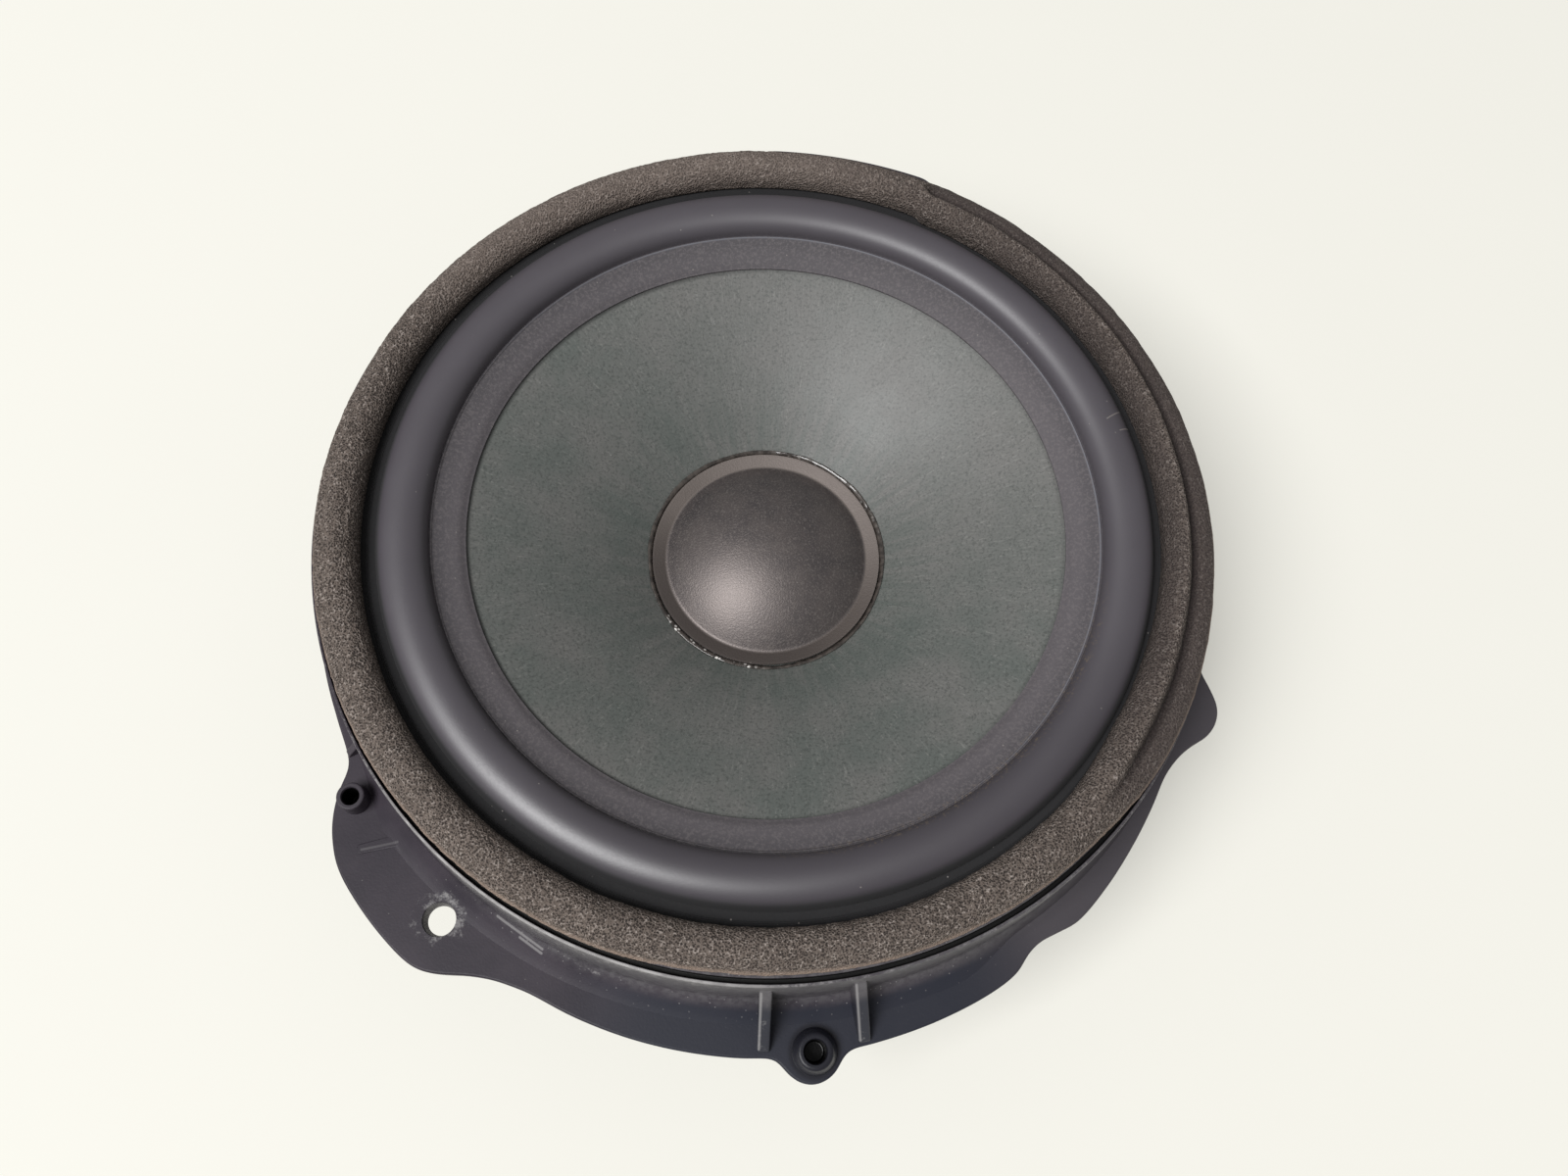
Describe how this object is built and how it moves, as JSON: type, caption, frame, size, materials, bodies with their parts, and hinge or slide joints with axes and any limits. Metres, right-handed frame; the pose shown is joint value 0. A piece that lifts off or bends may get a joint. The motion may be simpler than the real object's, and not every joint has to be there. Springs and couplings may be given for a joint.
{
  "type": "door woofer",
  "caption": "Round car-door woofer: moulded basket with irregular screw flange, foam gasket, rubber half-roll surround, mottled cone and dome dust cap that travel on a sprung voice coil.",
  "frame": {"origin": "centre of the motor's flat rear face", "axes": "+Z out of the front along the cone's axis; -Y towards the boss on the flange nearest the viewer"},
  "size_m": [0.1792, 0.2028, 0.0745],
  "materials": {
    "moulded_plastic": "semi-gloss moulded, scuffed",
    "gasket_foam": "open-cell foam, brown-grey",
    "seal_foam": "closed-cell foam",
    "surround_rubber": "satin rubber",
    "cone_pulp": "mottled fibrous pulp, matt",
    "cap_cloth": "coated cloth, matt",
    "set_glue": "clear glossy adhesive",
    "former_film": "polyimide film",
    "copper_wire": "enamelled copper",
    "spider_cloth": "impregnated cotton",
    "tinsel_braid": "tinsel braid",
    "connector_nylon": "moulded nylon",
    "tinned_brass": "tinned",
    "plated_steel": "zinc plated",
    "ferrite": "sintered ferrite"
  },
  "bodies": {
    "frame": {"basket": "moulded_plastic", "foam_gasket": "gasket_foam", "rear_seal": "seal_foam", "surround": "surround_rubber", "spider": "spider_cloth", "lead_positive": "tinsel_braid", "lead_negative": "tinsel_braid", "connector_housing": "connector_nylon", "terminal_positive": "tinned_brass", "terminal_negative": "tinned_brass", "top_plate": "plated_steel", "magnet": "ferrite", "t_yoke": "plated_steel", "motor_screw_1": "plated_steel", "motor_screw_2": "plated_steel", "motor_screw_3": "plated_steel", "motor_screw_4": "plated_steel"},
    "cone_assembly": {"cone": "cone_pulp", "dust_cap": "cap_cloth", "cap_glue_bead": "set_glue", "coil_former": "former_film", "coil_winding": "copper_wire"}
  },
  "joints": [
    {"name": "cone_travel", "type": "slide", "parent": "frame", "child": "cone_assembly", "axis": [0, 0, 1], "range_m": [-0.005, 0.005], "stiffness_N_per_m": 1200, "deforming": ["surround", "spider", "lead_positive", "lead_negative"]}
  ]
}
